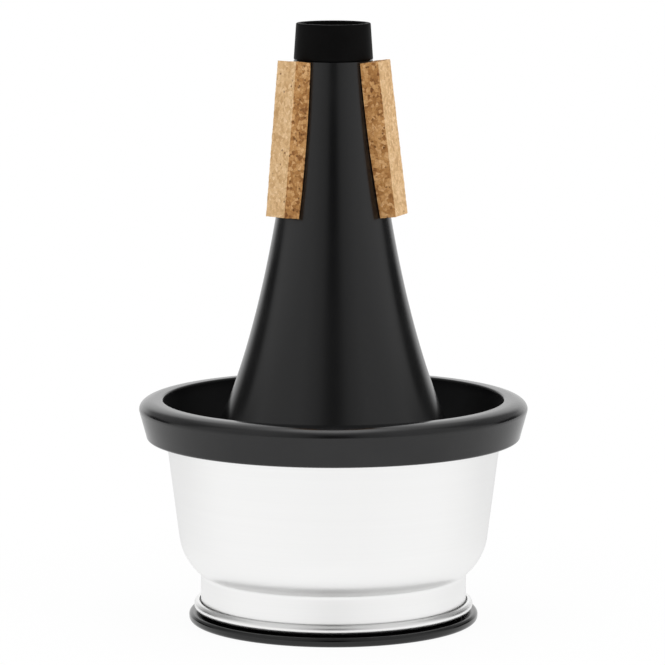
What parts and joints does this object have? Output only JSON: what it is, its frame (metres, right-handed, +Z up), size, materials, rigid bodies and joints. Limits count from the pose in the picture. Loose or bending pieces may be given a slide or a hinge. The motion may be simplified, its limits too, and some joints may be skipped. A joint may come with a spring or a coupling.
{
  "type": "trumpet cup mute",
  "caption": "Adjustable cup mute for a trumpet: cork-fitted black cone with a bright cup that slides and turns on its skirt.",
  "frame": {"origin": "middle of the foot ring's flat underside, on the turning axis", "axes": "+Z up along the turning axis to the narrow open end; the front of the picture looks along -Y and +X is to its right"},
  "size_m": [0.1098, 0.1098, 0.1693],
  "materials": {
    "black_aluminium": "black satin enamel on spun aluminium",
    "spun_aluminium": "bright spun and lightly polished",
    "edging_rubber": "smooth matt black",
    "foot_rubber": "smooth black, slight sheen",
    "black_plastic": "matt black moulding",
    "cork": "fine agglomerated cork, sanded",
    "grey_felt": "dense dark grey felt"
  },
  "bodies": {
    "mute_body": {"body_cone": "black_aluminium", "throat_sleeve": "black_plastic", "end_plate": "black_aluminium", "foot_ring": "foot_rubber", "cork_strip_left": "cork", "cork_strip_right": "cork", "cork_strip_back": "cork"},
    "grip_ring": {"neck_grip_ring": "grey_felt"},
    "cup": {"cup_shell": "spun_aluminium", "cup_rim_edging": "edging_rubber"}
  },
  "joints": [
    {"name": "cup_height", "type": "slide", "parent": "mute_body", "child": "grip_ring", "axis": [0, 0, 1], "range_m": [0, 0.175]},
    {"name": "cup_turn", "type": "hinge", "parent": "grip_ring", "child": "cup", "pos_m": [0, 0, 0.00765], "axis": [0, 0, 1], "continuous": true}
  ]
}
